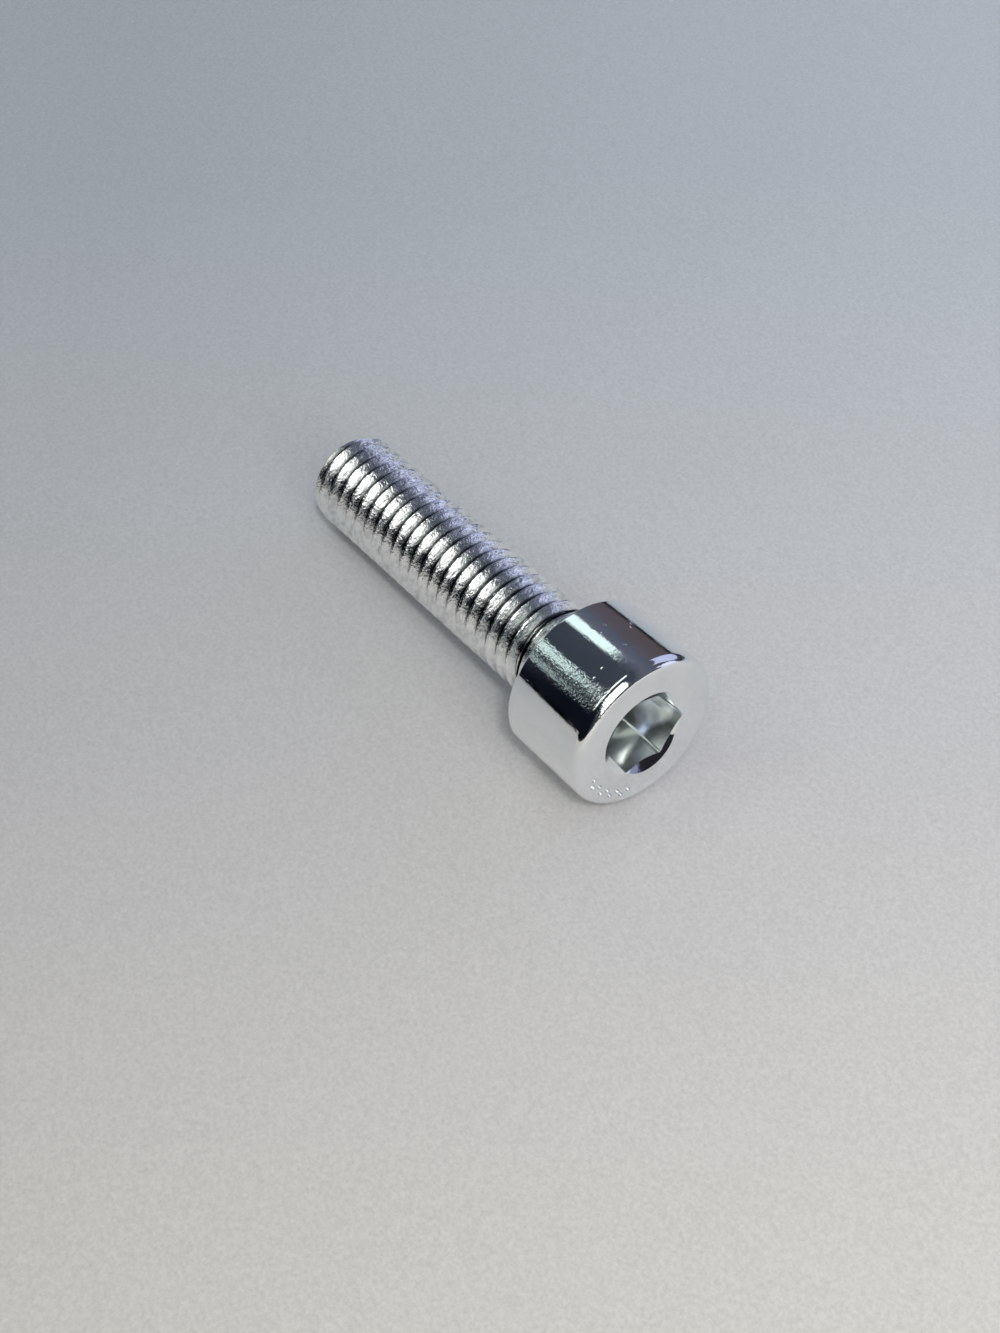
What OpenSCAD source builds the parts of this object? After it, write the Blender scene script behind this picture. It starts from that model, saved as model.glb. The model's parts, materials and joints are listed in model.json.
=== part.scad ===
// Hex socket cap screw, fully threaded, lying on its side.
// The origin is the centre of the head's bearing face, on the screw's axis.
// +X runs along the screw from the tip towards the head, +Z is up.
// The screw rests on the rim of its bearing face and on the thread at its tip,
// so its axis rises a little towards the head.

/* [Shank] */
// Length from the bearing face to the end of the tip
shank_l = 30; // [16:0.5:80]
// Outer diameter over the thread's crests
thread_d = 8; // [6:0.1:10]
// How much smaller the flat end of the tip is than the thread, on the radius
tip_step = 0.75; // [0.2:0.05:1.2]
// Length of the cone between the thread and the end of the tip
tip_cone_l = 0.7; // [0.3:0.05:2]
// How much smaller the plain neck is than the thread, on the radius
neck_step = 0.2; // [0.05:0.01:0.6]
// Length of the plain neck, from the bearing face to the thread
neck_l = 2.2; // [1.2:0.1:4]
// Radius of the fillet between the neck and the bearing face
neck_fillet_r = 0.5; // [0.2:0.05:0.8]

/* [Head] */
// Outer diameter of the head
head_d = 13; // [12:0.1:18]
// Height of the head, from the bearing face to the end face
head_h = 8; // [6.5:0.1:12]
// Radius of the rounded edge around the end face
head_edge_r = 0.8; // [0.2:0.05:1]
// Radius of the small round on the rim of the bearing face
head_rim_r = 0.25; // [0.1:0.05:0.5]

/* [Socket] */
// Distance across the socket's flats, the size of the key
socket_af = 6; // [4:0.1:7.5]
// Depth of the socket's flat walls, from the end face
socket_depth = 4.5; // [3:0.1:5.5]
// How far the mouth's countersink reaches past the socket's corners, on the radius
mouth_margin = 0.18; // [0.05:0.01:0.5]
// Angle between the countersink's wall and the screw's axis
mouth_angle = 45; // [30:1:60]
// Angle between the socket's conical floor and the screw's axis
floor_angle = 65; // [60:1:80]
// Turn of the socket about the screw's axis, from one corner up
socket_turn = 26; // [0:1:60]

/* [Hidden] */
$fn = 96;

HEX_SIDES = 6;
CUT = 1; // how far a cutting shape runs past the face that it opens
MOUTH_LAP = 0.3; // how far inside the socket's flats the countersink's cone starts
SEAM_TURN = 211; // where the seam of the round walls lies about the axis, from straight down
UP_TURN = 180; // the turn about the axis from straight down to straight up

thread_r = thread_d / 2;
tip_r = thread_r - tip_step;
neck_r = thread_r - neck_step;
head_r = head_d / 2;
thread_end = shank_l - tip_cone_l;
socket_corner_r = socket_af / 2 / cos(180 / HEX_SIDES);
mouth_r = socket_corner_r + mouth_margin;
mouth_start_r = socket_af / 2 - MOUTH_LAP;
mouth_depth = (mouth_r - mouth_start_r) / tan(mouth_angle);
floor_tip_z = head_h - socket_depth - socket_corner_r / tan(floor_angle);
hollow_h = head_h + CUT - floor_tip_z;

// The line under the screw touches the thread's last full crest and the round of the rim.
rest_run = thread_end + head_rim_r;
rest_rise = head_r - head_rim_r - thread_r;
lie_angle = atan2(rest_rise, rest_run) + asin(head_rim_r / norm([rest_run, rest_rise]));

// Half the section of the shank, with its axis along Y and the tip at -Y
module shank_section() {
    difference() {
        polygon([
            [0, head_h / 2],
            [0, -shank_l],
            [tip_r, -shank_l],
            [thread_r, -thread_end],
            [thread_r, -neck_l - neck_step],
            [neck_r, -neck_l],
            [neck_r, -neck_fillet_r],
            [neck_r + neck_fillet_r, 0],
            [neck_r + neck_fillet_r, head_h / 2]
        ]);
        translate([neck_r + neck_fillet_r, -neck_fillet_r]) circle(neck_fillet_r);
    }
}

// Half the section of the head, with its rounded edge and its rounded rim
module head_section() {
    square([head_r - head_edge_r, head_h]);
    translate([0, head_rim_r]) square([head_r, head_h - head_edge_r - head_rim_r]);
    square([head_r - head_rim_r, head_h / 2]);
    translate([head_r - head_edge_r, head_h - head_edge_r]) circle(head_edge_r);
    translate([head_r - head_rim_r, head_rim_r]) circle(head_rim_r);
}

// The hollow that takes the key: six flat walls, a countersunk mouth and a conical floor
module key_socket() {
    translate([0, 0, floor_tip_z]) intersection() {
        cylinder(r = socket_corner_r, h = hollow_h, $fn = HEX_SIDES);
        cylinder(r1 = 0, r2 = hollow_h * tan(floor_angle), h = hollow_h);
    }
    translate([0, 0, head_h - mouth_depth])
        cylinder(r1 = mouth_start_r, r2 = mouth_r + CUT * tan(mouth_angle), h = mouth_depth + CUT);
}

// The whole screw, upright with its tip down
module upright_screw() {
    difference() {
        rotate_extrude() {
            shank_section();
            head_section();
        }
        rotate([0, 0, UP_TURN + socket_turn - SEAM_TURN]) key_socket();
    }
}

// The screw as it lies
module cap_screw() {
    color([0.78, 0.8, 0.8])
        rotate([0, 90 - lie_angle, 0]) rotate([0, 0, SEAM_TURN]) upright_screw();
}

cap_screw();
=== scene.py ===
"""Looks of a hex socket cap screw that lies on a table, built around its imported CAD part."""

import json
import logging
import math
from collections.abc import Callable, Iterable
from dataclasses import dataclass, field
from enum import Enum

import bmesh
import bpy
from mathutils import Matrix, Vector


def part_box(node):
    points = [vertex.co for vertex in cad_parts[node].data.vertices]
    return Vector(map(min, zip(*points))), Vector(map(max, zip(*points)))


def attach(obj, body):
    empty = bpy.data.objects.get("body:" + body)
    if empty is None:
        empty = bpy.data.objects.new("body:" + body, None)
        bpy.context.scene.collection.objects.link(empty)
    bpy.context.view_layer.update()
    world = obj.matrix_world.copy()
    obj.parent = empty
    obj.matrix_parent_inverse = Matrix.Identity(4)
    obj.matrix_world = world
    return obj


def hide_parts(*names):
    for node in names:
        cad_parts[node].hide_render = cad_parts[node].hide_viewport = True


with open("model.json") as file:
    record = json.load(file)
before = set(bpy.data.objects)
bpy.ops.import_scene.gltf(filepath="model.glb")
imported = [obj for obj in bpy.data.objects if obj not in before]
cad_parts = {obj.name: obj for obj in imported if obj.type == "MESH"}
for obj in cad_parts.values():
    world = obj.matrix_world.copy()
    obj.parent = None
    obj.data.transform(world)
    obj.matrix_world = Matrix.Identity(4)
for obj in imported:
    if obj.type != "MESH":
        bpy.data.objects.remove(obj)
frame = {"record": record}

LOG = logging.getLogger("cap_screw")
MM = 0.001
CAD_NODE = "cap_screw"
BODY = "root"


def only_active(piece: bpy.types.Object) -> None:
    """Leave one object selected and active, in object mode.

    Args:
        piece: the object that stays selected.
    """
    if bpy.context.object and bpy.context.object.mode != "OBJECT":
        bpy.ops.object.mode_set(mode="OBJECT")
    bpy.ops.object.select_all(action="DESELECT")
    piece.select_set(True)
    bpy.context.view_layer.objects.active = piece


class Element(Enum):
    """What a pick in edit mode selects."""

    VERT = "verts"
    EDGE = "edges"
    FACE = "faces"


def pick(piece: bpy.types.Object, element: Element, test: Callable) -> int:
    """Go to edit mode and select the elements that pass a test.

    Args:
        piece: the mesh object to work on.
        element: the kind of element to select.
        test: takes a bmesh element and says whether it is wanted.

    Returns:
        How many elements were selected.
    """
    only_active(piece)
    bpy.ops.object.mode_set(mode="EDIT")
    bpy.ops.mesh.select_mode(type=element.name)
    bpy.ops.mesh.select_all(action="DESELECT")
    mesh = bmesh.from_edit_mesh(piece.data)
    wanted = [e for e in getattr(mesh, element.value) if test(e)]
    for e in wanted:
        e.select_set(True)
    mesh.select_flush_mode()
    bmesh.update_edit_mesh(piece.data)
    return len(wanted)


def done(piece: bpy.types.Object) -> None:
    """Merge doubles, point all faces outwards and go back to object mode.

    Args:
        piece: the mesh object to close up.
    """
    only_active(piece)
    bpy.ops.object.mode_set(mode="EDIT")
    bpy.ops.mesh.select_all(action="SELECT")
    bpy.ops.mesh.remove_doubles(threshold=1e-7)
    bpy.ops.mesh.normals_make_consistent(inside=False)
    bpy.ops.object.mode_set(mode="OBJECT")


def ring_test(radius: float, height: float, slack: float = 2e-6) -> Callable:
    """Return a test for edges that lie on a circle about the Z axis.

    Args:
        radius: the circle's radius.
        height: the circle's height.
        slack: how far a vertex may be from it.

    Returns:
        A function that takes an edge.
    """

    def on_ring(edge: bmesh.types.BMEdge) -> bool:
        """Say whether both ends of an edge lie on the circle."""
        return all(
            abs(v.co.z - height) < slack and abs(math.hypot(v.co.x, v.co.y) - radius) < slack
            for v in edge.verts
        )

    return on_ring


def flat_at(height: float, up: float, slack: float = 2e-6) -> Callable:
    """Return a test for level faces at a height.

    Args:
        height: the faces' height.
        up: 1 for faces that look up, -1 for faces that look down.
        slack: how far a face's middle may be from the height.

    Returns:
        A function that takes a face.
    """
    return lambda face: (
        abs(face.calc_center_median().z - height) < slack and face.normal.z * up > 0.99
    )


def combine(piece: bpy.types.Object, tool: bpy.types.Object, operation: str) -> None:
    """Combine a solid with another one, which is then removed.

    Args:
        piece: the solid that stays.
        tool: the solid that is used up.
        operation: UNION, DIFFERENCE or INTERSECT.
    """
    only_active(piece)
    modifier = piece.modifiers.new("combine", "BOOLEAN")
    modifier.operation = operation
    modifier.solver = "EXACT"
    modifier.object = tool
    bpy.ops.object.modifier_apply(modifier=modifier.name)
    bpy.data.objects.remove(tool, do_unlink=True)


@dataclass(frozen=True)
class Lie:
    """Where the screw lies: the middle of its bearing face and its direction from tip to head."""

    seat: Vector
    axis: Vector

    @classmethod
    def from_record(cls, record: dict) -> "Lie":
        """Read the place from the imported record's mounts.

        Args:
            record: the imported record.

        Returns:
            The place and direction of the screw.
        """
        mounts = {m["name"]: m for m in record["mounts"]}
        return cls(
            Vector(mounts["bearing_face"]["pos_m"]), -Vector(mounts["thread"]["axis"]).normalized()
        )

    @property
    def rise(self) -> float:
        """The angle by which the axis rises towards the head."""
        return math.asin(self.axis.z)

    @property
    def turn(self) -> float:
        """The turn about Y that takes an upright screw to where it lies."""
        return math.pi / 2 - self.rise

    def matrix(self) -> Matrix:
        """Return the placement of an upright screw, tip down, with its seat at the origin."""
        return Matrix.Translation(self.seat) @ Matrix.Rotation(self.turn, 4, "Y")


# Node work -------------------------------------------------------------------------------------


class Nodes:
    """A short way to write a node tree."""

    def __init__(self, tree: bpy.types.NodeTree) -> None:
        """Take a node tree and empty it."""
        self.tree = tree
        tree.nodes.clear()

    def add(self, kind: str, inputs: dict | None = None, **settings: object) -> bpy.types.Node:
        """Add a node.

        Args:
            kind: the node's type name.
            inputs: socket names or numbers, each with a value or a socket to link.
            settings: the node's own settings.

        Returns:
            The node.
        """
        node = self.tree.nodes.new(kind)
        for name, value in settings.items():
            setattr(node, name, value)
        for name, value in (inputs or {}).items():
            if isinstance(value, bpy.types.NodeSocket):
                self.tree.links.new(value, node.inputs[name])
            else:
                node.inputs[name].default_value = value
        return node

    def noise(
        self, vector: bpy.types.NodeSocket, scale: float, detail: float = 3.0, **more: float
    ) -> bpy.types.NodeSocket:
        """Add a noise texture and return its factor.

        Args:
            vector: the coordinates.
            scale: how many blotches there are to one unit.
            detail: how many finer layers there are.
            more: further inputs by their names in small letters.

        Returns:
            The factor socket.
        """
        names = {"Vector": vector, "Scale": scale, "Detail": detail}
        names.update({k.capitalize(): v for k, v in more.items()})
        return self.add("ShaderNodeTexNoise", names).outputs["Fac"]

    def ramp(
        self, factor: bpy.types.NodeSocket, stops: list[tuple[float, tuple]], smooth: bool = False
    ) -> bpy.types.NodeSocket:
        """Add a colour ramp and return its colour.

        Args:
            factor: what drives the ramp.
            stops: places from 0 to 1, each with an RGB colour.
            smooth: whether the steps between the stops are eased.

        Returns:
            The colour socket.
        """
        node = self.add("ShaderNodeValToRGB", {"Fac": factor})
        ramp = node.color_ramp
        ramp.interpolation = "EASE" if smooth else "LINEAR"
        while len(ramp.elements) < len(stops):
            ramp.elements.new(0.5)
        for element, (place, colour) in zip(ramp.elements, stops):
            element.position = place
            element.color = (*colour, 1.0)
        return node.outputs["Color"]

    def between(
        self, value: bpy.types.NodeSocket, low: float, high: float, a: float, b: float
    ) -> bpy.types.NodeSocket:
        """Map low..high to a..b, held at both ends.

        Args:
            value: the value to map.
            low: the value that gives a.
            high: the value that gives b.
            a: the result at the low end.
            b: the result at the high end.

        Returns:
            The mapped value's socket.
        """
        return self.add(
            "ShaderNodeMapRange",
            {"Value": value, "From Min": low, "From Max": high, "To Min": a, "To Max": b},
        ).outputs["Result"]

    def math(
        self, operation: str, a: bpy.types.NodeSocket | float, b: bpy.types.NodeSocket | float = 0.0
    ) -> bpy.types.NodeSocket:
        """Add a maths node and return its value."""
        return self.add("ShaderNodeMath", {0: a, 1: b}, operation=operation).outputs[0]

    def bump(
        self,
        height: bpy.types.NodeSocket,
        distance: float,
        strength: float | bpy.types.NodeSocket = 1.0,
        normal: bpy.types.NodeSocket | None = None,
    ) -> bpy.types.NodeSocket:
        """Add a bump and return its normal.

        Args:
            height: the pattern that is raised.
            distance: how high a value of one stands, in metres.
            strength: how much of the bump shows, from 0 to 1.
            normal: the normal of a bump that lies under this one.

        Returns:
            The normal's socket.
        """
        values = {"Height": height, "Distance": distance, "Strength": strength}
        if normal is not None:
            values["Normal"] = normal
        return self.add("ShaderNodeBump", values).outputs["Normal"]


def screw_coords(nodes: Nodes, lie: Lie, scale: tuple[float, float, float]) -> bpy.types.NodeSocket:
    """Give coordinates in the upright screw's frame, with Z along its axis.

    Args:
        nodes: the material's nodes.
        lie: where the screw lies.
        scale: how much each axis is stretched, per metre.

    Returns:
        The coordinate socket.
    """
    place = nodes.add("ShaderNodeTexCoord").outputs["Object"]
    upright = nodes.add("ShaderNodeMapping", {"Vector": place, "Rotation": (0.0, -lie.turn, 0.0)})
    return nodes.add(
        "ShaderNodeMapping", {"Vector": upright.outputs["Vector"], "Scale": scale}
    ).outputs["Vector"]


def metal(name: str, **even: float) -> tuple[bpy.types.Material, Nodes, bpy.types.Node]:
    """Start a metallic material.

    Args:
        name: the material's name.
        even: shader inputs that are the same all over the surface.

    Returns:
        The material, its nodes and its shader.
    """
    material = bpy.data.materials.new(name)
    material.use_nodes = True
    nodes = Nodes(material.node_tree)
    shader = nodes.add("ShaderNodeBsdfPrincipled", {"Metallic": 1.0, **even})
    nodes.add("ShaderNodeOutputMaterial", {"Surface": shader.outputs["BSDF"]})
    return material, nodes, shader


# Finishes --------------------------------------------------------------------------------------


@dataclass(frozen=True)
class BrightPlate:
    """Bright zinc on the head: close to a mirror, with pits, faint scratches and a scuffed strip."""

    tint: tuple[float, float, float] = (0.93, 0.95, 0.95)
    stain: tuple[float, float, float] = (0.88, 0.905, 0.91)
    smooth: float = 0.05
    scuffed: float = 0.07
    pit_depth: float = 0.02 * MM
    grain_depth: float = 0.004 * MM
    scuff_depth: float = 0.020 * MM
    scuff_turn: float = math.radians(145.0)
    scuff_spread: float = math.radians(13.0)

    def material(self, lie: Lie) -> bpy.types.Material:
        """Build the finish in the screw's own frame.

        Args:
            lie: where the screw lies.

        Returns:
            The material.
        """
        material, n, shader = metal("bright_zinc_plate")
        even = screw_coords(n, lie, (1000.0, 1000.0, 1000.0))
        along = screw_coords(n, lie, (2600.0, 2600.0, 500.0))
        cloud = n.noise(even, 0.45, 4.0)
        n.tree.links.new(
            n.ramp(cloud, [(0.35, self.stain), (0.62, self.tint)], smooth=True),
            shader.inputs["Base Color"],
        )
        parts = n.add("ShaderNodeSeparateXYZ", {"Vector": even})
        angle = n.math("ARCTAN2", parts.outputs["Y"], parts.outputs["X"])
        off = n.math("ABSOLUTE", n.math("ADD", angle, self.scuff_turn))
        mask = n.between(off, self.scuff_spread * 0.6, self.scuff_spread, 1.0, 0.0)
        scuff = n.noise(even, 4.6, 2.0, roughness=0.5)
        fine = n.noise(even, 3.4, 3.0, roughness=0.6)
        n.tree.links.new(
            n.math(
                "ADD",
                n.between(cloud, 0.3, 0.7, self.smooth, self.smooth * 2.0),
                n.math("MULTIPLY", mask, self.scuffed - self.smooth),
            ),
            shader.inputs["Roughness"],
        )
        cells = n.add(
            "ShaderNodeTexVoronoi", {"Vector": even, "Scale": 0.85, "Randomness": 1.0}
        ).outputs["Distance"]
        pits = n.between(cells, 0.05, 0.11, 0.0, 1.0)
        lines = n.between(n.noise(along, 1.0, 2.0), 0.60, 0.70, 0.0, 1.0)
        normal = n.bump(pits, self.pit_depth, 0.6)
        normal = n.bump(fine, self.grain_depth, 1.0, normal)
        normal = n.bump(lines, self.grain_depth, 0.4, normal)
        normal = n.bump(n.math("MULTIPLY", scuff, mask), self.scuff_depth, 1.0, normal)
        n.tree.links.new(normal, shader.inputs["Normal"])
        return material


@dataclass(frozen=True)
class RolledPlate:
    """Zinc over the rolled thread: fine lines around the shank, bright specks, and painted shade that
    darkens the roots.
    """

    tint: tuple[float, float, float] = (0.93, 0.94, 0.93)
    dull: tuple[float, float, float] = (0.66, 0.69, 0.68)
    painted_root_shade: tuple[float, float, float] = (0.06, 0.065, 0.07)
    smooth: float = 0.05
    rough: float = 0.12
    line_depth: float = 0.080 * MM
    speck_depth: float = 0.045 * MM
    root_r: float = 3.29 * MM
    painted_root_shade_h: float = 0.16 * MM

    def material(self, lie: Lie) -> bpy.types.Material:
        """Build the finish in the screw's own frame.

        Args:
            lie: where the screw lies.

        Returns:
            The material.
        """
        material, n, shader = metal("rolled_zinc_plate")
        around = screw_coords(n, lie, (1000.0, 1000.0, 4600.0))
        even = screw_coords(n, lie, (1000.0, 1000.0, 1000.0))
        lines = n.noise(around, 1.0, 3.0, roughness=0.6)
        specks = n.noise(even, 4.0, 3.0, roughness=0.6)
        wear = n.noise(even, 1.3, 3.0)
        parts = n.add("ShaderNodeSeparateXYZ", {"Vector": even})
        across = n.add(
            "ShaderNodeCombineXYZ", {"X": parts.outputs["X"], "Y": parts.outputs["Y"]}
        ).outputs["Vector"]
        radius = n.add("ShaderNodeVectorMath", {0: across}, operation="LENGTH").outputs["Value"]
        # Painted shade: the base colour turns near black towards the roots of the thread, where light
        # is blocked; noise makes its edge ragged.
        low, high = self.root_r / MM, (self.root_r + self.painted_root_shade_h) / MM
        ragged = n.math("ADD", radius, n.math("MULTIPLY", specks, -0.10))
        unshaded_share = n.between(ragged, low - 0.05, high - 0.05, 0.0, 1.0)
        plate = n.ramp(n.math("MULTIPLY", lines, wear), [(0.14, self.dull), (0.27, self.tint)])
        plate_with_root_shade = n.add("ShaderNodeMix", {"Factor": unshaded_share}, data_type="RGBA")
        plate_with_root_shade.inputs[6].default_value = (*self.painted_root_shade, 1.0)
        n.tree.links.new(plate, plate_with_root_shade.inputs[7])
        n.tree.links.new(plate_with_root_shade.outputs[2], shader.inputs["Base Color"])
        n.tree.links.new(
            n.between(specks, 0.35, 0.65, self.smooth, self.rough), shader.inputs["Roughness"]
        )
        normal = n.bump(lines, self.line_depth, 1.0)
        normal = n.bump(specks, self.speck_depth, 0.8, normal)
        n.tree.links.new(normal, shader.inputs["Normal"])
        return material


@dataclass(frozen=True)
class PunchedPlate:
    """Thin zinc inside the punched socket: grey-green and satin, with drag lines along the walls."""

    tint: tuple[float, float, float] = (0.97, 1.0, 0.985)
    shade: tuple[float, float, float] = (0.90, 0.95, 0.93)
    roughness: tuple[float, float] = (0.10, 0.20)
    drag_depth: float = 0.004 * MM

    def material(self, lie: Lie) -> bpy.types.Material:
        """Build the finish in the screw's own frame.

        Args:
            lie: where the screw lies.

        Returns:
            The material.
        """
        material, n, shader = metal("punched_zinc_plate")
        along = screw_coords(n, lie, (3200.0, 3200.0, 380.0))
        even = screw_coords(n, lie, (1000.0, 1000.0, 1000.0))
        drag = n.noise(along, 1.0, 3.0)
        cloud = n.noise(even, 0.9, 4.0)
        n.tree.links.new(
            n.ramp(cloud, [(0.32, self.shade), (0.66, self.tint)]), shader.inputs["Base Color"]
        )
        n.tree.links.new(
            n.between(cloud, 0.3, 0.7, *self.roughness), shader.inputs["Roughness"]
        )
        normal = n.bump(drag, self.drag_depth, 0.6)
        normal = n.bump(n.noise(even, 7.0, 3.0), self.drag_depth, 0.5, normal)
        n.tree.links.new(normal, shader.inputs["Normal"])
        return material


@dataclass(frozen=True)
class PaintedShadeBite:
    """The torn second bite of the countersink: painted shade, near black, that turns into a painted
    bluish reflection and pale metal at one end.
    """

    painted_shade: tuple[float, float, float] = (0.030, 0.028, 0.036)
    painted_blue_reflection: tuple[float, float, float] = (0.42, 0.46, 0.72)
    edge: tuple[float, float, float] = (0.80, 0.82, 0.86)
    roughness: float = 0.22
    tear_depth: float = 0.03 * MM

    def material(self, lie: Lie) -> bpy.types.Material:
        """Build the finish in the screw's own frame.

        Args:
            lie: where the screw lies.

        Returns:
            The material.
        """
        material, n, shader = metal("burnished_steel", Roughness=self.roughness)
        even = screw_coords(n, lie, (1000.0, 1000.0, 1000.0))
        tear = n.noise(even, 4.0, 3.0, roughness=0.65)
        parts = n.add("ShaderNodeSeparateXYZ", {"Vector": even})
        place = n.math("ADD", parts.outputs["Y"], n.math("MULTIPLY", tear, 1.6))
        # Painted shade and painted reflection: near black over most of the bite, then a painted bluish
        # reflection and a pale end towards low Y.
        n.tree.links.new(
            n.ramp(
                n.between(place, -2.4, 3.2, 0.0, 1.0),
                [(0.10, self.edge), (0.22, self.painted_blue_reflection), (0.40, self.painted_blue_reflection), (0.50, self.painted_shade)],
            ),
            shader.inputs["Base Color"],
        )
        n.tree.links.new(n.bump(tear, self.tear_depth), shader.inputs["Normal"])
        return material


# The screw -------------------------------------------------------------------------------------


@dataclass
class HeadAndNeck:
    """The cylindrical head with its rounded edges, and the plain neck with its fillet."""

    head_r: float
    head_h: float = 8.0 * MM
    edge_r: float = 0.8 * MM
    rim_r: float = 0.25 * MM
    neck_r: float = 3.8 * MM
    neck_l: float = 2.2 * MM
    fillet_r: float = 0.5 * MM
    runout_l: float = 1.1 * MM
    core_r: float = 3.2 * MM
    loop_gap: float = 0.04 * MM
    sides: int = 240

    def build(self) -> bpy.types.Object:
        """Model the head upright, with its bearing face at the origin.

        Returns:
            A closed solid.
        """
        bpy.ops.mesh.primitive_cylinder_add(
            vertices=self.sides,
            radius=self.head_r,
            depth=self.head_h,
            location=(0.0, 0.0, self.head_h / 2),
        )
        piece = bpy.context.active_object
        bpy.ops.object.transform_apply(location=True, rotation=True, scale=True)
        self._draw_neck(piece)
        self._round_edges(piece)
        self._hold_flats(piece)
        done(piece)
        return piece

    def _draw_neck(self, piece: bpy.types.Object) -> None:
        """Pull the neck and the end of its run-out from the bearing face.

        Args:
            piece: the head so far.
        """
        pick(piece, Element.FACE, flat_at(0.0, -1.0))
        bpy.ops.mesh.inset(thickness=self.head_r - self.neck_r)
        bpy.ops.mesh.extrude_region_move(TRANSFORM_OT_translate={"value": (0, 0, -self.neck_l)})
        bpy.ops.mesh.extrude_region_move(TRANSFORM_OT_translate={"value": (0, 0, -self.runout_l)})
        shrink = self.core_r / self.neck_r
        bpy.ops.transform.resize(value=(shrink, shrink, 1.0), center_override=(0.0, 0.0, 0.0))

    def _round_edges(self, piece: bpy.types.Object) -> None:
        """Round the end face's edge, the bearing face's rim and the corner under the head.

        Args:
            piece: the head so far.
        """
        for radius, height, size, segments in (
            (self.head_r, self.head_h, self.edge_r, 14),
            (self.head_r, 0.0, self.rim_r, 6),
            (self.neck_r, 0.0, self.fillet_r, 8),
        ):
            pick(piece, Element.EDGE, ring_test(radius, height, 0.02 * MM))
            bpy.ops.mesh.bevel(offset=size, segments=segments, profile=0.5, affect="EDGES")

    def _hold_flats(self, piece: bpy.types.Object) -> None:
        """Add loops beside the rounded edges, so that the long wall and the face shade true.

        Args:
            piece: the head so far.
        """
        for height in (self.rim_r + self.loop_gap, self.head_h - self.edge_r - self.loop_gap):
            pick(piece, Element.FACE, lambda face: True)
            bpy.ops.mesh.bisect(plane_co=(0.0, 0.0, height), plane_no=(0.0, 0.0, 1.0))
        pick(piece, Element.FACE, flat_at(self.head_h, 1.0))
        bpy.ops.mesh.inset(thickness=self.loop_gap)


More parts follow.
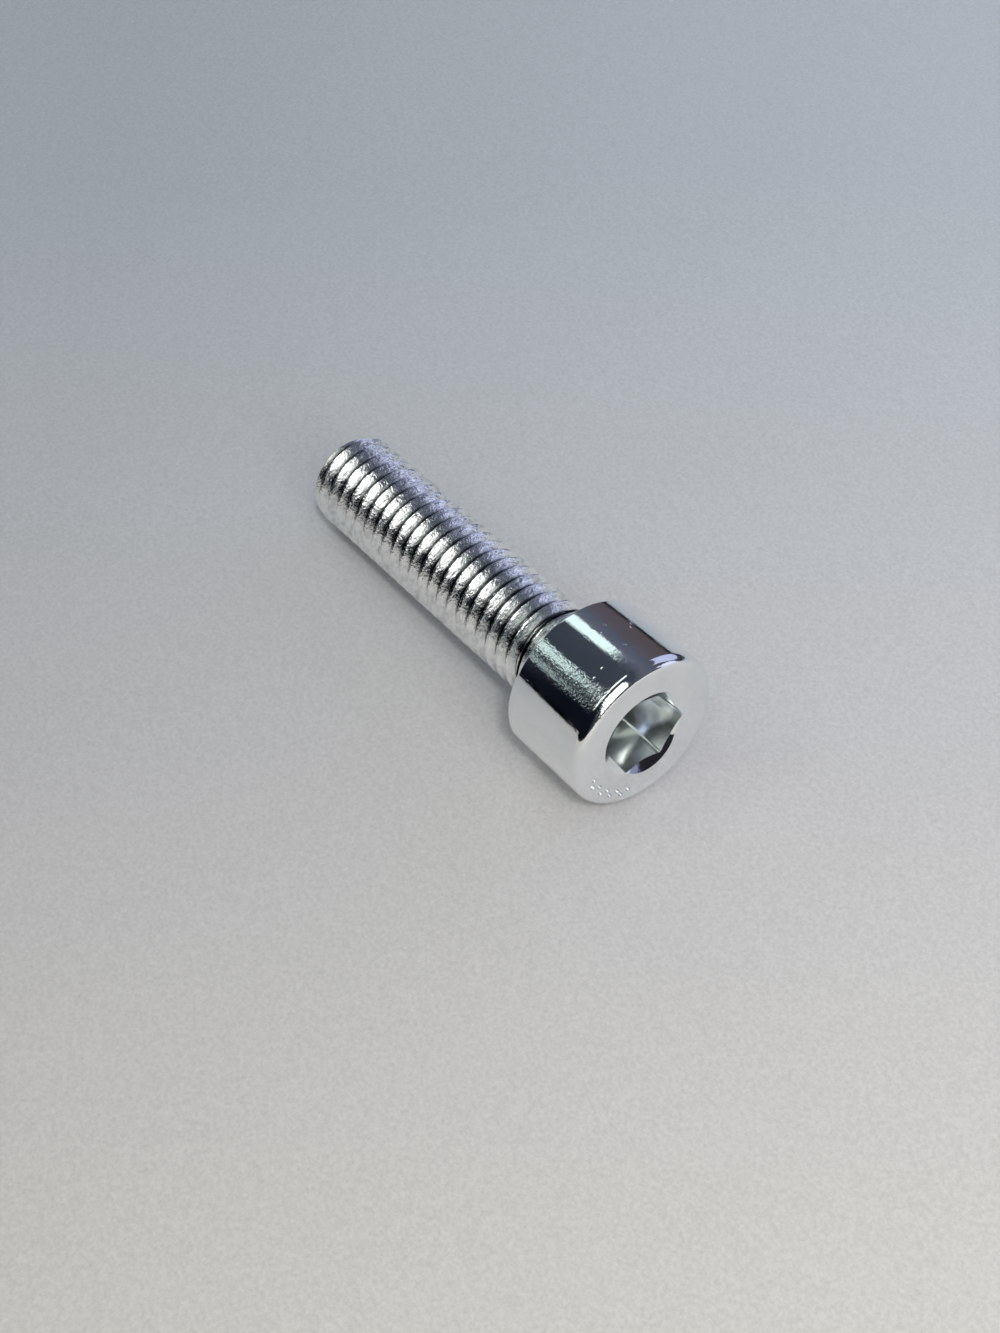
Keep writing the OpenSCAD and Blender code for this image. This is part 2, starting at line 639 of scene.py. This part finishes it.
@dataclass
class RolledThread:
    """The rolled thread: a right-hand helix that fades out at the neck and is coned at the tip."""

    crest_r: float
    pitch: float = 1.25 * MM
    length: float = 30.0 * MM
    neck_l: float = 2.2 * MM
    neck_r: float = 3.8 * MM
    fade_l: float = 0.9 * MM
    tip_r: float = 3.3 * MM
    tip_cone_l: float = 0.75 * MM
    root_round: float = 0.18 * MM
    lip: float = 0.05 * MM
    furrow: float = 0.035 * MM
    steps: int = 96

    def profile(self) -> list[tuple[float, float]]:
        """Return one pitch of the thread's section, as radii and heights from root to root.

        Returns:
            Points from the middle of one root to the middle of the next.
        """
        half = self.pitch / 2
        slope = math.tan(math.radians(60.0))
        arc = [math.radians(a) for a in (0.0, 20.0, 40.0, 60.0)]
        crest_half = self.pitch / 16
        flank_low = self.root_round * math.sin(arc[-1])
        depth = (half - crest_half - flank_low) * slope + self.root_round * (1 - math.cos(arc[-1]))
        root = self.crest_r - depth
        rise = [
            (root + self.root_round * (1 - math.cos(a)), self.root_round * math.sin(a)) for a in arc
        ]
        rise += [
            (self.crest_r - self.lip * 1.1, half - crest_half - self.lip * 1.1 / slope),
            (self.crest_r - self.lip * 0.25, half - crest_half * 0.95),
            (self.crest_r, half - crest_half * 0.62),
            (self.crest_r - self.furrow, half),
        ]
        fall = [(r, self.pitch - z) for r, z in reversed(rise[:-1])]
        return rise + fall

    def build(self) -> bpy.types.Object:
        """Model the threaded length upright.

        Returns:
            A closed solid.
        """
        piece = self._sweep()
        combine(piece, self._envelope(), "INTERSECT")
        done(piece)
        return piece

    def _sweep(self) -> bpy.types.Object:
        """Trace the section from a corner of a plane, turn it up the helix and close both ends.

        Returns:
            A closed solid, longer than the thread at both ends.
        """
        points = self.profile()
        low = -self.length - 2.0 * self.pitch
        bpy.ops.mesh.primitive_plane_add(size=2.0 * self.pitch, location=(points[0][0], 0.0, low))
        piece = bpy.context.active_object
        bpy.ops.object.transform_apply(location=True, rotation=True, scale=True)
        pick(piece, Element.VERT, lambda v: v.index > 0)
        bpy.ops.mesh.delete(type="VERT")
        pick(piece, Element.VERT, lambda v: True)
        start = bmesh.from_edit_mesh(piece.data).verts[:][0].co.copy()
        shift = Vector((points[0][0], 0.0, low)) - start
        bpy.ops.transform.translate(value=shift)
        for (r0, z0), (r1, z1) in zip(points, points[1:]):
            bpy.ops.mesh.extrude_vertices_move(
                TRANSFORM_OT_translate={"value": (r1 - r0, 0.0, z1 - z0)}
            )
        bpy.ops.object.mode_set(mode="OBJECT")
        turns = math.ceil((self.length - self.neck_l) / self.pitch) + 5
        screw = piece.modifiers.new("helix", "SCREW")
        screw.axis = "Z"
        screw.angle = 2 * math.pi
        screw.screw_offset = self.pitch
        screw.iterations = turns
        screw.steps = screw.render_steps = self.steps
        screw.use_merge_vertices = True
        screw.merge_threshold = 1e-8
        bpy.ops.object.modifier_apply(modifier=screw.name)
        pick(piece, Element.VERT, lambda v: True)
        bpy.ops.mesh.remove_doubles(threshold=1e-7)
        for height, clear in (
            (-self.length - 0.3 * self.pitch, "clear_inner"),
            (-self.neck_l + 0.9 * self.pitch, "clear_outer"),
        ):
            pick(piece, Element.FACE, lambda face: True)
            bpy.ops.mesh.bisect(
                plane_co=(0.0, 0.0, height), plane_no=(0.0, 0.0, 1.0), use_fill=True, **{clear: True}
            )
        done(piece)
        return piece

    def _envelope(self) -> bpy.types.Object:
        """Model the outline that trims the thread: a coned tip and a fading end at the neck.

        Returns:
            A closed solid.
        """
        outer = self.crest_r + 4 * self.lip
        cone = (outer - self.tip_r) * self.tip_cone_l / (self.crest_r - self.tip_r)
        fade = (outer - self.neck_r) * self.fade_l / (self.crest_r - self.neck_r)
        top = -self.neck_l + self.lip
        bpy.ops.mesh.primitive_cylinder_add(
            vertices=2 * self.steps,
            radius=self.tip_r,
            depth=self.tip_cone_l,
            location=(0.0, 0.0, -self.length + self.tip_cone_l / 2),
        )
        piece = bpy.context.active_object
        bpy.ops.object.transform_apply(location=True, rotation=True, scale=True)
        pick(piece, Element.FACE, flat_at(-self.length + self.tip_cone_l, 1.0))
        bpy.ops.transform.translate(value=(0.0, 0.0, cone - self.tip_cone_l))
        bpy.ops.transform.resize(
            value=(outer / self.tip_r, outer / self.tip_r, 1.0), center_override=(0.0, 0.0, 0.0)
        )
        bpy.ops.mesh.extrude_region_move(
            TRANSFORM_OT_translate={"value": (0.0, 0.0, top - fade + self.length - cone)}
        )
        bpy.ops.mesh.extrude_region_move(TRANSFORM_OT_translate={"value": (0.0, 0.0, fade)})
        bpy.ops.transform.resize(
            value=(self.neck_r / outer, self.neck_r / outer, 1.0), center_override=(0.0, 0.0, 0.0)
        )
        done(piece)
        return piece


@dataclass
class KeySocket:
    """The hollow that takes the key: six walls, a conical floor and an uneven countersink."""

    end_z: float
    across_flats: float = 6.0 * MM
    depth: float = 4.5 * MM
    floor_angle: float = math.radians(65.0)
    corner_turn: float = math.radians(206.0)
    corner_r: float = 0.13 * MM
    mouths: tuple[tuple[float, float, float, float], ...] = (
        (-0.24 * MM, -0.22 * MM, 3.58 * MM, math.radians(60.0)),
        (1.44 * MM, 0.26 * MM, 2.47 * MM, math.radians(69.0)),
    )
    clearance: float = 1.0 * MM

    @property
    def corner_reach(self) -> float:
        """The distance from the axis to a corner."""
        return self.across_flats / 2 / math.cos(math.pi / 6)

    def in_last_bite(self, place: Vector) -> bool:
        """Say whether a point lies on the wall of the last of the countersink's cones.

        Args:
            place: a point of the upright screw.

        Returns:
            Whether it lies there.
        """
        x, y, reach, angle = self.mouths[-1]
        wall = reach - (self.end_z - place.z) * math.tan(angle)
        return abs(math.hypot(place.x - x, place.y - y) - wall) < 0.03 * MM

    def key_cutter(self) -> bpy.types.Object:
        """Model the solid that cuts the walls and the floor.

        Returns:
            A closed solid, with its long edges rounded.
        """
        tip = self.end_z - self.depth - self.corner_reach / math.tan(self.floor_angle)
        height = self.end_z + self.clearance - tip
        bpy.ops.mesh.primitive_cylinder_add(
            vertices=6,
            radius=self.corner_reach,
            depth=height,
            location=(0.0, 0.0, tip + height / 2),
            rotation=(0.0, 0.0, self.corner_turn - math.pi / 2),
        )
        cutter = bpy.context.active_object
        bpy.ops.object.transform_apply(location=True, rotation=True, scale=True)
        pick(cutter, Element.EDGE, lambda e: abs(e.verts[0].co.z - e.verts[1].co.z) > height / 2)
        bpy.ops.mesh.bevel(offset=self.corner_r, segments=5, profile=0.5, affect="EDGES")
        done(cutter)
        bpy.ops.mesh.primitive_cone_add(
            vertices=144,
            radius1=0.0,
            radius2=height * math.tan(self.floor_angle),
            depth=height,
            location=(0.0, 0.0, tip + height / 2),
        )
        cone = bpy.context.active_object
        bpy.ops.object.transform_apply(location=True, rotation=True, scale=True)
        done(cone)
        combine(cutter, cone, "INTERSECT")
        return cutter

    def mouth_cutters(self) -> list[bpy.types.Object]:
        """Model the solids that cut the countersink: a wide cone, and a second bite low down.

        Returns:
            Closed cones, each a little off the axis.
        """
        cutters = []
        for x, y, reach, angle in self.mouths:
            flare = math.tan(angle)
            height = reach / flare
            bpy.ops.mesh.primitive_cone_add(
                vertices=192,
                radius1=0.0,
                radius2=reach + self.clearance * flare,
                depth=height + self.clearance,
                location=(x, y, self.end_z + (self.clearance - height) / 2),
            )
            cutter = bpy.context.active_object
            bpy.ops.object.transform_apply(location=True, rotation=True, scale=True)
            done(cutter)
            cutters.append(cutter)
        return cutters


@dataclass
class PipRow:
    """A staggered row of small raised pips near the end face's edge. They spell nothing."""

    end_z: float
    count: int = 9
    rows: tuple[float, float] = (5.10 * MM, 5.46 * MM)
    middle: float = math.radians(-46.0)
    spread: float = math.radians(52.0)
    pip_r: float = 0.21 * MM
    pip_h: float = 0.18 * MM
    sunk: float = 0.06

    def build(self) -> bpy.types.Object:
        """Model one pip and copy it along the row.

        Returns:
            One object with all the pips.
        """
        bpy.ops.mesh.primitive_uv_sphere_add(
            segments=24, ring_count=16, radius=self.pip_r, location=(0.0, 0.0, 0.0)
        )
        first = bpy.context.active_object
        pick(first, Element.VERT, lambda v: True)
        bpy.ops.transform.resize(value=(1.0, 1.0, self.pip_h / self.pip_r))
        done(first)
        pips = []
        for k in range(self.count):
            turn = self.middle + self.spread * (k / (self.count - 1) - 0.5)
            reach = self.rows[k % 2]
            pip = first.copy()
            pip.data = first.data.copy()
            bpy.context.collection.objects.link(pip)
            pip.location = (
                reach * math.cos(turn),
                reach * math.sin(turn),
                self.end_z - self.pip_h * self.sunk,
            )
            pips.append(pip)
        bpy.data.objects.remove(first, do_unlink=True)
        only_active(pips[0])
        for pip in pips[1:]:
            pip.select_set(True)
        bpy.ops.object.join()
        bpy.ops.object.transform_apply(location=True, rotation=True, scale=True)
        return pips[0]


@dataclass
class CapScrew:
    """The whole screw as one closed piece."""

    lie: Lie
    thread_r: float
    head_r: float
    parts: list[str] = field(default_factory=list)

    @classmethod
    def from_frame(cls, record: dict) -> "CapScrew":
        """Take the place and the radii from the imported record.

        Args:
            record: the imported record.

        Returns:
            The screw, not yet built.
        """
        mounts = {m["name"]: m for m in record["mounts"]}
        return cls(
            lie=Lie.from_record(record),
            thread_r=mounts["thread"]["dims"]["r_mm"] * MM,
            head_r=mounts["head_wall"]["dims"]["r_mm"] * MM,
        )

    def build(self) -> bpy.types.Object:
        """Model, join, dress and place the screw.

        Returns:
            The finished piece, which rides on its body and replaces the CAD node.
        """
        head = HeadAndNeck(self.head_r)
        piece = head.build()
        self._note("head and neck", piece)
        thread = RolledThread(self.thread_r - 0.03 * MM).build()
        self._note("rolled thread", thread)
        combine(piece, thread, "UNION")
        socket = KeySocket(head.head_h)
        combine(piece, socket.key_cutter(), "DIFFERENCE")
        for cutter in socket.mouth_cutters():
            combine(piece, cutter, "DIFFERENCE")
        combine(piece, PipRow(head.head_h).build(), "UNION")
        done(piece)
        piece.name = piece.data.name = "screw"
        self._dress(piece, head, socket)
        only_active(piece)
        bpy.ops.object.shade_smooth_by_angle(angle=math.radians(23.0))
        for face in piece.data.polygons:
            if abs(face.center.z - head.head_h) < 1e-7:
                face.use_smooth = False
        piece.data.transform(self.lie.matrix())
        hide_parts(CAD_NODE)
        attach(piece, BODY)
        self._note("screw", piece)
        return piece

    def _note(self, name: str, piece: bpy.types.Object) -> None:
        """Report a part's faces."""
        self.parts.append(name)
        LOG.info("%s: %d faces", name, len(piece.data.polygons))

    def _dress(self, piece: bpy.types.Object, head: HeadAndNeck, socket: KeySocket) -> None:
        """Give each face its finish by its place on the upright screw.

        Args:
            piece: the upright screw.
            head: the head's sizes.
            socket: the socket's sizes.
        """
        piece.data.materials.clear()
        for finish in (BrightPlate(), RolledPlate(), PunchedPlate(), PaintedShadeBite()):
            piece.data.materials.append(finish.material(self.lie))
        tip_z = min(v.co.z for v in piece.data.vertices)

        def flat_end(face: bpy.types.MeshPolygon) -> bool:
            """Say whether a face is part of the tip's flat end."""
            return face.center.z < tip_z + 0.01 * MM

        inside = max(math.hypot(x, y) + reach for x, y, reach, _ in socket.mouths) + 0.1 * MM
        for face in piece.data.polygons:
            reach = math.hypot(face.center.x, face.center.y)
            if flat_end(face):
                face.material_index = 0
            elif face.center.z < -0.02 * MM and reach < self.thread_r + 0.5 * MM:
                face.material_index = 1
            elif (
                head.head_h - socket.depth * 2 < face.center.z < head.head_h - 0.005 * MM
                and reach < inside
            ):
                # Faces on the last bite take the finish with painted shade and a painted reflection.
                face.material_index = 3 if socket.in_last_bite(face.center) else 2
            else:
                face.material_index = 0


# The studio ------------------------------------------------------------------------------------


@dataclass(frozen=True)
class Lamp:
    """A flat soft lamp, placed by where it lies around the screw's axis."""

    name: str
    direction: tuple[float, float, float]
    distance: float
    size: tuple[float, float]
    radiance: float
    colour: tuple[float, float, float]

    def build(self, aim: Vector, along: Vector) -> bpy.types.Object:
        """Hang the lamp so that it faces the screw.

        Args:
            aim: the point that it faces.
            along: the direction that its first side follows.

        Returns:
            The light object.
        """
        data = bpy.data.lights.new(self.name, "AREA")
        data.shape = "RECTANGLE"
        data.size, data.size_y = self.size
        data.energy = self.radiance * self.size[0] * self.size[1] * math.pi
        data.color = self.colour
        lamp = bpy.data.objects.new(self.name, data)
        bpy.context.scene.collection.objects.link(lamp)
        towards = Vector(self.direction).normalized()
        lamp.location = aim + towards * self.distance
        side = (along - along.dot(towards) * towards).normalized()
        lamp.matrix_world = Matrix.Translation(lamp.location) @ Matrix(
            (side, towards.cross(side), towards)
        ).transposed().to_4x4()
        return lamp


@dataclass
class Studio:
    """A pale table, its colour painted with light falloff, under soft lamps, and the camera."""

    lie: Lie
    floor_z: float
    floor_size: float = 2.6
    fill: float = 0.235
    backdrop: float = 0.50
    view_azimuth: float = math.radians(52.58)
    view_elevation: float = math.radians(49.62)
    view_distance: float = 147.0 * MM
    view_aim: Vector = field(default_factory=lambda: Vector((-3.98 * MM, -4.11 * MM, 0.0)))
    lens: float = 53.23

    def around(self, turn: float, along: float) -> tuple[float, float, float]:
        """Give a direction by its turn about the screw and its share along the axis.

        Args:
            turn: degrees from straight up towards -Y.
            along: the part of the direction along the screw's axis, from -1 to 1.

        Returns:
            A unit vector in the row frame.
        """
        axis = self.lie.axis
        up = (Vector((0.0, 0.0, 1.0)) - axis.z * axis).normalized()
        side = Vector((0.0, -1.0, 0.0))
        angle = math.radians(turn)
        across = math.sqrt(1.0 - along * along)
        return tuple(along * axis + across * (math.cos(angle) * up + math.sin(angle) * side))

    def build(self) -> None:
        """Lay the table, hang the lamps, set the room and place the camera."""
        self._table()
        self._lamps()
        self._room()
        self._camera()

    def _table(self) -> None:
        """Lay a wide pale table under the screw, its colour painted with light falloff."""
        bpy.ops.object.select_all(action="DESELECT")
        bpy.ops.mesh.primitive_plane_add(size=self.floor_size, location=(0.0, 0.0, self.floor_z))
        table = bpy.context.active_object
        table.name = "table"
        bpy.ops.object.transform_apply(location=True, rotation=True, scale=True)
        material = bpy.data.materials.new("pale_table")
        material.use_nodes = True
        n = Nodes(material.node_tree)
        shader = n.add("ShaderNodeBsdfPrincipled", {"Roughness": 0.75, "Specular IOR Level": 0.2})
        n.add("ShaderNodeOutputMaterial", {"Surface": shader.outputs["BSDF"]})
        place = n.add("ShaderNodeTexCoord").outputs["Object"]
        grain = n.noise(place, 3200.0, 4.0, roughness=0.7)
        parts = n.add("ShaderNodeSeparateXYZ", {"Vector": place})
        depth = n.math(
            "ADD",
            n.math("MULTIPLY", parts.outputs["X"], -math.cos(math.radians(37.4))),
            n.math("MULTIPLY", parts.outputs["Y"], math.sin(math.radians(37.4))),
        )
        right = n.math(
            "ADD",
            n.math("MULTIPLY", parts.outputs["X"], 0.6076),
            n.math("MULTIPLY", parts.outputs["Y"], 0.7942),
        )
        # Painted light: the table's colour is warmer and brighter near the camera and bluish and dimmer
        # far off.
        far = n.between(depth, -0.055, 0.070, 0.0, 1.0)
        painted_falloff = n.ramp(
            far, [(0.0, (0.765, 0.735, 0.69)), (0.42, (0.625, 0.62, 0.63)), (1.0, (0.49, 0.535, 0.585))]
        )
        # Painted side light: dimmer on the left and brighter on the right, mixed with the table's real
        # grain.
        wide = n.between(right, -0.045, 0.045, 0.87, 1.15)
        side_light_and_grain = n.math("MULTIPLY", wide, n.between(grain, 0.3, 0.7, 0.90, 1.10))
        shade = n.add(
            "ShaderNodeMix",
            {"Factor": 1.0},
            data_type="RGBA",
            blend_type="MULTIPLY",
        )
        n.tree.links.new(painted_falloff, shade.inputs[6])
        n.tree.links.new(side_light_and_grain, shade.inputs[7])
        n.tree.links.new(shade.outputs[2], shader.inputs["Base Color"])
        n.tree.links.new(n.bump(grain, 0.01 * MM, 0.3), shader.inputs["Normal"])
        table.data.materials.append(material)

    def _lamps(self) -> None:
        """Hang three long lamps above, a window at the side and a key lamp beyond the head."""
        aim = self.lie.seat + 4 * MM * self.lie.axis
        green = (0.80, 1.0, 0.94)
        lamps = (
            Lamp("tube_near", self.around(-23.0, -0.72), 1.0, (0.476, 0.21), 1.0, green),
            Lamp("tube_mid", self.around(32.0, -0.72), 1.0, (0.476, 0.17), 0.8, green),
            Lamp("tube_far", self.around(53.0, -0.72), 1.0, (0.476, 0.09), 0.42, green),
            Lamp("ceiling", self.around(20.0, -0.31), 1.0, (0.26, 0.96), 1.3, (0.97, 1.0, 0.92)),
            Lamp("window", (-0.04, 0.88, 0.46), 1.0, (0.98, 0.60), 0.75, (0.56, 0.67, 1.0)),
            Lamp("low_window", (0.62, 0.74, 0.13), 1.0, (0.36, 0.34), 1.10, (0.62, 0.70, 1.0)),
            Lamp("key", (0.68, -0.20, 0.705), 1.0, (1.28, 0.60), 1.9, (1.0, 0.99, 0.97)),
            Lamp("spot", (0.48, -0.265, 0.836), 1.0, (0.10, 0.10), 74.0, (1.0, 0.97, 0.93)),
        )
        for lamp in lamps:
            lamp.build(aim, self.lie.axis)

    def _room(self) -> None:
        """Give the room its soft fill and the dim tones that the plate mirrors."""
        world = bpy.data.worlds.new("room")
        bpy.context.scene.world = world
        world.use_nodes = True
        n = Nodes(world.node_tree)
        toward = n.add("ShaderNodeTexCoord").outputs["Generated"]
        parts = n.add("ShaderNodeSeparateXYZ", {"Vector": toward})
        side = n.between(parts.outputs["Y"], -1.0, 1.0, 0.0, 1.0)
        dim = n.ramp(
            side,
            [
                (0.0, (0.004, 0.005, 0.009)),
                (0.13, (0.004, 0.005, 0.009)),
                (0.20, (0.030, 0.037, 0.050)),
                (0.34, (0.038, 0.048, 0.065)),
                (0.62, (0.045, 0.055, 0.075)),
                (0.72, (0.110, 0.120, 0.165)),
                (0.79, (0.085, 0.100, 0.140)),
                (0.83, (0.095, 0.085, 0.110)),
                (0.90, (0.090, 0.075, 0.085)),
                (1.0, (0.060, 0.050, 0.055)),
            ],
        )
        rise = n.between(parts.outputs["Z"], 0.03, 0.12, 0.12, 1.0)
        path = n.add("ShaderNodeLightPath")
        seen = path.outputs["Is Camera Ray"]
        soft = n.math("MAXIMUM", path.outputs["Is Diffuse Ray"], seen)
        pale = n.between(seen, 0.0, 1.0, self.fill, self.backdrop)
        mirror = n.add("ShaderNodeBackground", {"Color": dim, "Strength": rise})
        fill = n.add("ShaderNodeBackground", {"Color": (0.94, 0.97, 1.0, 1.0), "Strength": pale})
        both = n.add("ShaderNodeMixShader", {0: soft})
        n.tree.links.new(mirror.outputs[0], both.inputs[1])
        n.tree.links.new(fill.outputs[0], both.inputs[2])
        n.add("ShaderNodeOutputWorld", {"Surface": both.outputs[0]})
        bpy.context.scene.view_settings.view_transform = "Standard"

    def _camera(self) -> None:
        """Place the camera above and beyond the head's end."""
        data = bpy.data.cameras.new("camera")
        data.lens = self.lens
        data.sensor_width = 36.0
        data.clip_start = 0.005
        data.clip_end = 20.0
        camera = bpy.data.objects.new("camera", data)
        bpy.context.scene.collection.objects.link(camera)
        azimuth, elevation = self.view_azimuth, self.view_elevation
        towards = Vector(
            (
                math.sin(azimuth) * math.cos(elevation),
                -math.cos(azimuth) * math.cos(elevation),
                math.sin(elevation),
            )
        )
        camera.location = self.view_aim + towards * self.view_distance
        camera.rotation_euler = towards.to_track_quat("Z", "Y").to_euler()
        bpy.context.scene.camera = camera


def main() -> None:
    """Build the screw and its studio."""
    logging.basicConfig(level=logging.INFO, format="%(name)s: %(message)s")
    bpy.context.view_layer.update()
    screw = CapScrew.from_frame(frame["record"])
    screw.build()
    low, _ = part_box(CAD_NODE)
    Studio(screw.lie, low.z).build()
    LOG.info("parts: %s", ", ".join(screw.parts))


if __name__ == "__main__":
    main()
